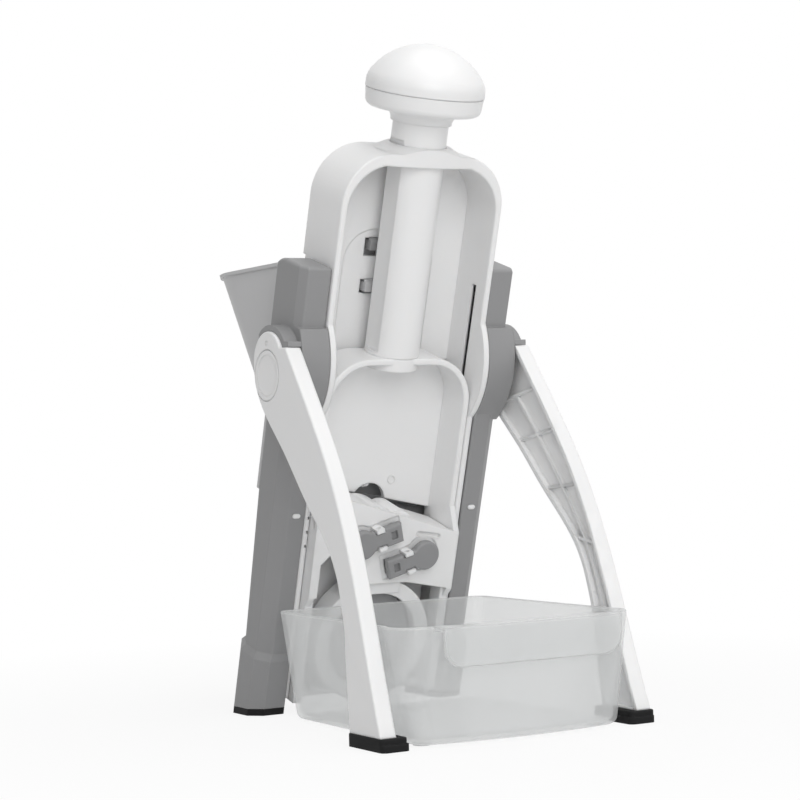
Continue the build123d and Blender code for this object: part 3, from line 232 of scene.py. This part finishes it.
def coil_spring(hand):
    low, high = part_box("return_spring_" + hand)
    outer = (high[0] - low[0]) / 2
    middle = (high[0] + low[0]) / 2
    along = Vector((0, -sin(LEAN), cos(LEAN)))
    bottom = Vector((middle, high[1] - outer * cos(LEAN), low[2] + outer * sin(LEAN)))
    top = Vector((middle, low[1] + outer * cos(LEAN), high[2] - outer * sin(LEAN)))
    length = (top - bottom).length
    steps = COIL_TURNS * STEPS_PER_TURN
    coil = bmesh.new()
    upright = Matrix.Rotation(LEAN, 4, "X") @ Matrix.Rotation(radians(90), 4, "X")
    start = bottom + along * WIRE_RADIUS + Vector((outer - WIRE_RADIUS, 0, 0))
    bmesh.ops.create_circle(coil, segments=WIRE_SIDES, radius=WIRE_RADIUS,
                            matrix=Matrix.Translation(start) @ upright)
    bmesh.ops.spin(coil, geom=coil.verts[:] + coil.edges[:], cent=bottom, axis=along, angle=COIL_TURNS * tau,
                   steps=steps, dvec=along * (length - 2 * WIRE_RADIUS) / steps)
    bmesh.ops.holes_fill(coil, edges=[edge for edge in coil.edges if edge.is_boundary])
    bmesh.ops.recalc_face_normals(coil, faces=coil.faces[:])
    for face in coil.faces:
        face.smooth = True
    mesh = bpy.data.meshes.new("coil_spring_" + hand)
    coil.to_mesh(mesh)
    coil.free()
    mesh.materials.append(steel)
    piece = bpy.data.objects.new("coil_spring_" + hand, mesh)
    bpy.context.scene.collection.objects.link(piece)
    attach(piece, "stand")
    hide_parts("return_spring_" + hand)
    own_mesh(piece)


for hand in ("left", "right"):
    coil_spring(hand)


# Folding legs: white ribbed arms with a round cap over each pivot and a black rubber boot on the foot.
# They swing on steel pins in the housing's bosses and stop against the shroud above each pivot.
for hand in ("left", "right"):
    dress("leg_arm_" + hand, white_plastic)
    dress("leg_cap_" + hand, white_plastic)
    dress("leg_boot_" + hand, rubber)


# Plunger: the carriage with its arch, plate, block and ring, the grooved stem and the palm knob.
# All of it is the same white plastic; the dome is snapped onto its base and hides the screw.
for node in ("carriage_frame", "stem_tube", "knob_base", "knob_cap", "runway"):
    dress(node, white_plastic)
for node in ("knob_screw", "dial_screw", "blade_screws"):
    dress(node, steel)


# Slicing blade and combs: strips of stainless steel, ground on their faces.
# The blade is screwed to the slanted edge of the plate, and each comb rides on a rocker.
blade_steel = drawn_steel("ground blade steel", STEEL, roughness=0.2, along=(120, 900, 2400))
for node in ("slicing_blade", "comb_left", "comb_right"):
    dress(node, blade_steel)


# Thickness dial and rockers: small mouldings in much the same grey as the housing.
# They turn in the carriage's ring and block, and are a little glossier than the stand.
DIAL_GREY = (0.285, 0.285, 0.290)
dial_plastic = moulded_plastic("dark grey dial plastic", DIAL_GREY, roughness=0.46, grain=0.08, bloom=0.03)
for node in ("thickness_dial", "dial_knob", "rocker_left", "rocker_right"):
    dress(node, dial_plastic)


# Collection tray: a thin moulded tub with a pull flap on its near wall.
# The plastic is milky clear: it lets shapes through faintly, and its rim, folds and floor look denser.
TRAY_HAZE = 0.36
TRAY_FOLD_HAZE = 0.92
TRAY_FLOOR_HAZE = 0.85


def milky_plastic(name):
    material = bpy.data.materials.new(name)
    material.use_nodes = True
    tree = material.node_tree
    body = tree.nodes["Principled BSDF"]
    place = tree.nodes.new("ShaderNodeTexCoord")
    haze = tree.nodes.new("ShaderNodeTexNoise")
    haze.inputs["Scale"].default_value = 26.0
    haze.inputs["Detail"].default_value = 4.0
    tone = tree.nodes.new("ShaderNodeMix")
    tone.data_type = "RGBA"
    tone.inputs["A"].default_value = (0.86, 0.865, 0.865, 1)
    tone.inputs["B"].default_value = (0.93, 0.935, 0.935, 1)
    gloss = tree.nodes.new("ShaderNodeMapRange")
    gloss.inputs["To Min"].default_value = 0.16
    gloss.inputs["To Max"].default_value = 0.30
    rounded = tree.nodes.new("ShaderNodeBevel")
    rounded.samples = 4
    rounded.inputs["Radius"].default_value = 0.0016
    link_nodes(tree, (place.outputs["Object"], haze.inputs["Vector"]),
               (haze.outputs["Fac"], tone.inputs["Factor"]),
               (tone.outputs["Result"], body.inputs["Base Color"]),
               (haze.outputs["Fac"], gloss.inputs["Value"]),
               (gloss.outputs["Result"], body.inputs["Roughness"]),
               (rounded.outputs["Normal"], body.inputs["Normal"]))

    facing = tree.nodes.new("ShaderNodeNewGeometry")
    turn = tree.nodes.new("ShaderNodeVectorMath")
    turn.operation = "DOT_PRODUCT"
    dense = tree.nodes.new("ShaderNodeMapRange")
    dense.inputs["From Min"].default_value = 1.0
    dense.inputs["From Max"].default_value = 0.82
    dense.inputs["To Min"].default_value = TRAY_HAZE
    dense.inputs["To Max"].default_value = TRAY_FOLD_HAZE
    upright = tree.nodes.new("ShaderNodeSeparateXYZ")
    flat = tree.nodes.new("ShaderNodeMath")
    flat.operation = "ABSOLUTE"
    lying = tree.nodes.new("ShaderNodeMapRange")
    lying.inputs["From Min"].default_value = 0.6
    lying.inputs["To Max"].default_value = TRAY_FLOOR_HAZE
    denser = tree.nodes.new("ShaderNodeMath")
    denser.operation = "MAXIMUM"
    link_nodes(tree, (rounded.outputs["Normal"], turn.inputs[0]),
               (facing.outputs["Normal"], turn.inputs[1]),
               (turn.outputs["Value"], dense.inputs["Value"]),
               (dense.outputs["Result"], denser.inputs[0]),
               (facing.outputs["Normal"], upright.inputs["Vector"]),
               (upright.outputs["Z"], flat.inputs[0]),
               (flat.outputs["Value"], lying.inputs["Value"]),
               (lying.outputs["Result"], denser.inputs[1]))

    through = tree.nodes.new("ShaderNodeBsdfTranslucent")
    through.inputs["Color"].default_value = (0.90, 0.905, 0.905, 1)
    lit = tree.nodes.new("ShaderNodeMixShader")
    lit.inputs["Fac"].default_value = 0.45
    clear = tree.nodes.new("ShaderNodeBsdfTransparent")
    clear.inputs["Color"].default_value = (0.985, 0.988, 0.988, 1)
    whole = tree.nodes.new("ShaderNodeMixShader")
    link_nodes(tree, (body.outputs["BSDF"], lit.inputs[1]),
               (through.outputs["BSDF"], lit.inputs[2]),
               (denser.outputs["Value"], whole.inputs["Fac"]),
               (clear.outputs["BSDF"], whole.inputs[1]),
               (lit.outputs["Shader"], whole.inputs[2]),
               (whole.outputs["Shader"], tree.nodes["Material Output"].inputs["Surface"]))
    return material


dress("collection_tray", milky_plastic("milky tray plastic"))


# Floor: a wide sheet of pale paper under the object.
# It keeps a soft shadow near the object and fades to white further out.
FLOOR_HALF = 6.0
FLOOR_DROP = 0.0002
sheet = bmesh.new()
bmesh.ops.create_grid(sheet, x_segments=1, y_segments=1, size=FLOOR_HALF,
                      matrix=Matrix.Translation((0, 0, -FLOOR_DROP)))
floor_mesh = bpy.data.meshes.new("floor")
sheet.to_mesh(floor_mesh)
sheet.free()
floor = bpy.data.objects.new("floor", floor_mesh)
bpy.context.scene.collection.objects.link(floor)
floor_paper = bpy.data.materials.new("pale paper")
floor_paper.use_nodes = True
floor_mesh.materials.append(floor_paper)


def seen_directly(tree):
    """1 for rays that come from the camera, a mirror or a clear piece."""
    path = tree.nodes.new("ShaderNodeLightPath")
    either = tree.nodes.new("ShaderNodeMath")
    either.operation = "MAXIMUM"
    any_of = tree.nodes.new("ShaderNodeMath")
    any_of.operation = "MAXIMUM"
    link_nodes(tree, (path.outputs["Is Camera Ray"], either.inputs[0]),
               (path.outputs["Is Glossy Ray"], either.inputs[1]),
               (either.outputs["Value"], any_of.inputs[0]),
               (path.outputs["Is Transmission Ray"], any_of.inputs[1]))
    return any_of.outputs["Value"]


tree = floor_paper.node_tree
paper = tree.nodes["Principled BSDF"]
paper.inputs["Base Color"].default_value = (0.8, 0.8, 0.8, 1)
paper.inputs["Roughness"].default_value = 0.9
glow = tree.nodes.new("ShaderNodeEmission")
around = tree.nodes.new("ShaderNodeTexCoord")
reach = tree.nodes.new("ShaderNodeVectorMath")
reach.operation = "LENGTH"
fade = tree.nodes.new("ShaderNodeMapRange")
fade.inputs["From Min"].default_value = 0.12
fade.inputs["From Max"].default_value = 0.42
fade.inputs["To Min"].default_value = 0.88
fade.inputs["To Max"].default_value = 1.0
share = tree.nodes.new("ShaderNodeMath")
share.operation = "MULTIPLY"
mixed = tree.nodes.new("ShaderNodeMixShader")
link_nodes(tree, (around.outputs["Object"], reach.inputs[0]),
           (reach.outputs["Value"], fade.inputs["Value"]),
           (seen_directly(tree), share.inputs[0]),
           (fade.outputs["Result"], share.inputs[1]),
           (share.outputs["Value"], mixed.inputs["Fac"]),
           (paper.outputs["BSDF"], mixed.inputs[1]),
           (glow.outputs["Emission"], mixed.inputs[2]),
           (mixed.outputs["Shader"], tree.nodes["Material Output"].inputs["Surface"]))


# Light: one large soft lamp in front of the viewed side, one overhead, and an even pale room.
# The room looks white wherever it is seen directly, and lights the object more weakly.
LIT_POINT = (0, 0, 0.15)


def soft_lamp(name, power, width, place):
    lamp = bpy.data.lights.new(name, "AREA")
    lamp.energy = power
    lamp.size = width
    holder = bpy.data.objects.new(name, lamp)
    holder.location = place
    holder.rotation_euler = (Vector(LIT_POINT) - Vector(place)).to_track_quat("-Z", "Y").to_euler()
    bpy.context.scene.collection.objects.link(holder)


soft_lamp("front lamp", power=9.2, width=1.0, place=(-0.40, -1.40, 0.74))
soft_lamp("top lamp", power=9.5, width=1.2, place=(0.15, -0.35, 1.65))

world = bpy.data.worlds.new("studio")
bpy.context.scene.world = world
world.use_nodes = True
tree = world.node_tree
room = tree.nodes["Background"]
room.inputs["Color"].default_value = (1, 1, 1, 1)
room.inputs["Strength"].default_value = 0.41
backdrop = tree.nodes.new("ShaderNodeBackground")
backdrop.inputs["Color"].default_value = (1, 1, 1, 1)
backdrop.inputs["Strength"].default_value = 1.0
mixed = tree.nodes.new("ShaderNodeMixShader")
link_nodes(tree, (seen_directly(tree), mixed.inputs["Fac"]),
           (room.outputs["Background"], mixed.inputs[1]),
           (backdrop.outputs["Background"], mixed.inputs[2]),
           (mixed.outputs["Shader"], tree.nodes["World Output"].inputs["Surface"]))
bpy.context.scene.view_settings.view_transform = "Standard"


# Camera: behind and to the left of the stand, almost level and a little rolled.
# Its place and lens were fitted to the photograph.
CAMERA_PLACE = (-0.5756, -0.9566, 0.1501)
CAMERA_TURN = -30.95
CAMERA_PITCH = 0.29
CAMERA_ROLL = -1.54
CAMERA_LENS = 101.72
CAMERA_SENSOR = 36.0
camera = bpy.data.cameras.new("camera")
camera.lens = CAMERA_LENS
camera.sensor_width = CAMERA_SENSOR
holder = bpy.data.objects.new("camera", camera)
bpy.context.scene.collection.objects.link(holder)
holder.matrix_world = (Matrix.Translation(CAMERA_PLACE) @ Matrix.Rotation(radians(CAMERA_TURN), 4, "Z")
                       @ Matrix.Rotation(radians(90 + CAMERA_PITCH), 4, "X")
                       @ Matrix.Rotation(radians(CAMERA_ROLL), 4, "Z"))
bpy.context.scene.camera = holder
